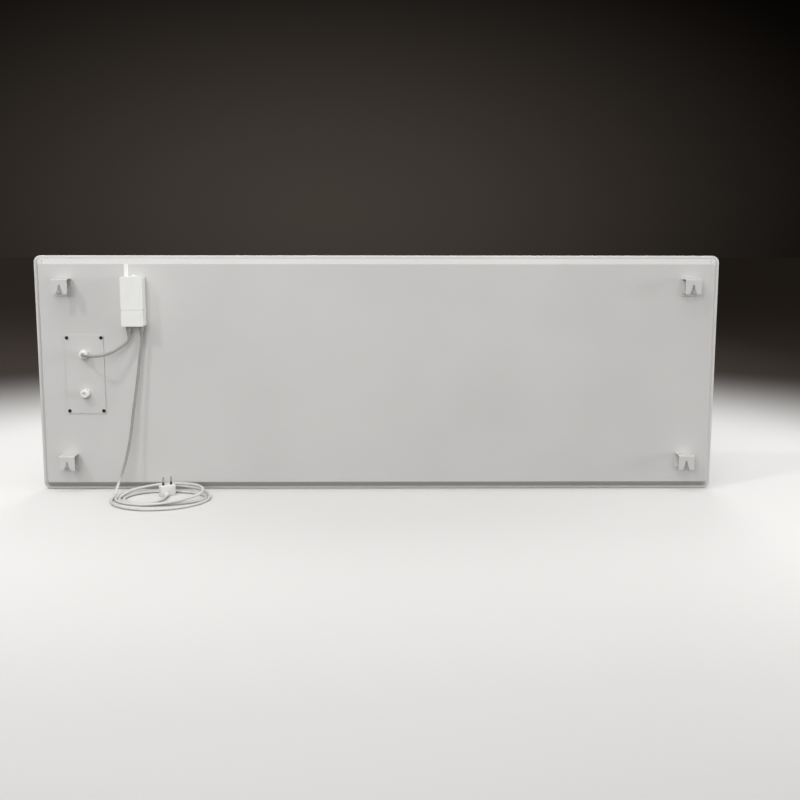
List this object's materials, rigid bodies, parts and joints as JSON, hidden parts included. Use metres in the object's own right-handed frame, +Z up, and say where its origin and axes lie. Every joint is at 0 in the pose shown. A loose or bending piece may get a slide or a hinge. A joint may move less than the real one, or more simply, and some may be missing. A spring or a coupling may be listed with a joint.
{
  "type": "wall-hung infrared panel heater",
  "caption": "Flat infrared panel heater seen with its wall brackets, wired to a small switched receiver box whose mains cord ends in a plug.",
  "frame": {"origin": "midway between the closed ends of the two upper hanging notches, in the plane of the wall", "axes": "+X across the panel, from its receiver end to its plain end; +Y out of the wall, into the room; +Z up"},
  "size_m": [1.6, 0.2303, 0.555],
  "materials": {
    "white_paint": "satin",
    "white_steel": "satin",
    "white_plastic": "satin",
    "cord_jacket": "satin",
    "black_plastic": "matte",
    "black_steel": "satin",
    "zinc": "zinc plated",
    "nickel": "nickel plated",
    "brass": "plain",
    "foam": "matte",
    "element": "matte",
    "mineral_board": "matte",
    "circuit_board": "satin",
    "rubber": "matte",
    "line_lead": "satin",
    "neutral_lead": "satin",
    "earth_lead": "satin"
  },
  "bodies": {
    "heater": {"front_panel": "white_paint", "heating_element": "element", "insulation_board": "mineral_board", "back_cover": "white_steel", "rail_upper": "zinc", "rail_lower": "zinc", "bracket_upper_left": "white_steel", "rivet_upper_left_a": "white_steel", "rivet_upper_left_b": "white_steel", "bracket_upper_right": "white_steel", "rivet_upper_right_a": "white_steel", "rivet_upper_right_b": "white_steel", "bracket_lower_left": "white_steel", "rivet_lower_left_a": "white_steel", "rivet_lower_left_b": "white_steel", "bracket_lower_right": "white_steel", "rivet_lower_right_a": "white_steel", "rivet_lower_right_b": "white_steel", "service_plate": "white_steel", "service_screw_top_left": "black_steel", "service_screw_top_right": "black_steel", "service_screw_bottom_left": "black_steel", "service_screw_bottom_right": "black_steel", "link_gland_body": "white_plastic", "link_gland_cap": "white_plastic", "link_gland_nut": "white_plastic", "spare_gland_body": "white_plastic", "spare_gland_cap": "white_plastic", "spare_gland_nut": "white_plastic", "spare_gland_blank": "rubber", "terminal_block": "white_plastic", "thermal_cutout": "black_plastic", "earth_stud": "brass", "line_lead": "line_lead", "neutral_lead": "neutral_lead", "earth_lead": "earth_lead", "receiver_strap": "white_paint", "receiver_pad": "foam", "receiver_back_shell": "white_plastic", "receiver_front_cover": "white_plastic", "receiver_terminal_cover": "white_plastic", "receiver_board": "circuit_board", "receiver_relay": "black_plastic", "receiver_transformer": "black_plastic", "receiver_terminals": "white_plastic", "switch_body": "white_plastic", "link_relief": "cord_jacket", "mains_relief": "cord_jacket", "link_cable": "cord_jacket", "mains_cord": "cord_jacket", "mains_cord_coil": "cord_jacket", "plug_body": "white_plastic", "plug_relief": "white_plastic", "plug_pin_left": "nickel", "plug_sleeve_left": "black_plastic", "plug_pin_right": "nickel", "plug_sleeve_right": "black_plastic"},
    "rocker": {"switch_rocker": "white_plastic"}
  },
  "joints": [
    {"name": "switch_tilt", "type": "hinge", "parent": "heater", "child": "rocker", "pos_m": [-0.5566, 0.023, 0.0153], "axis": [0, 1, 0], "range_deg": [-20, 0]}
  ]
}
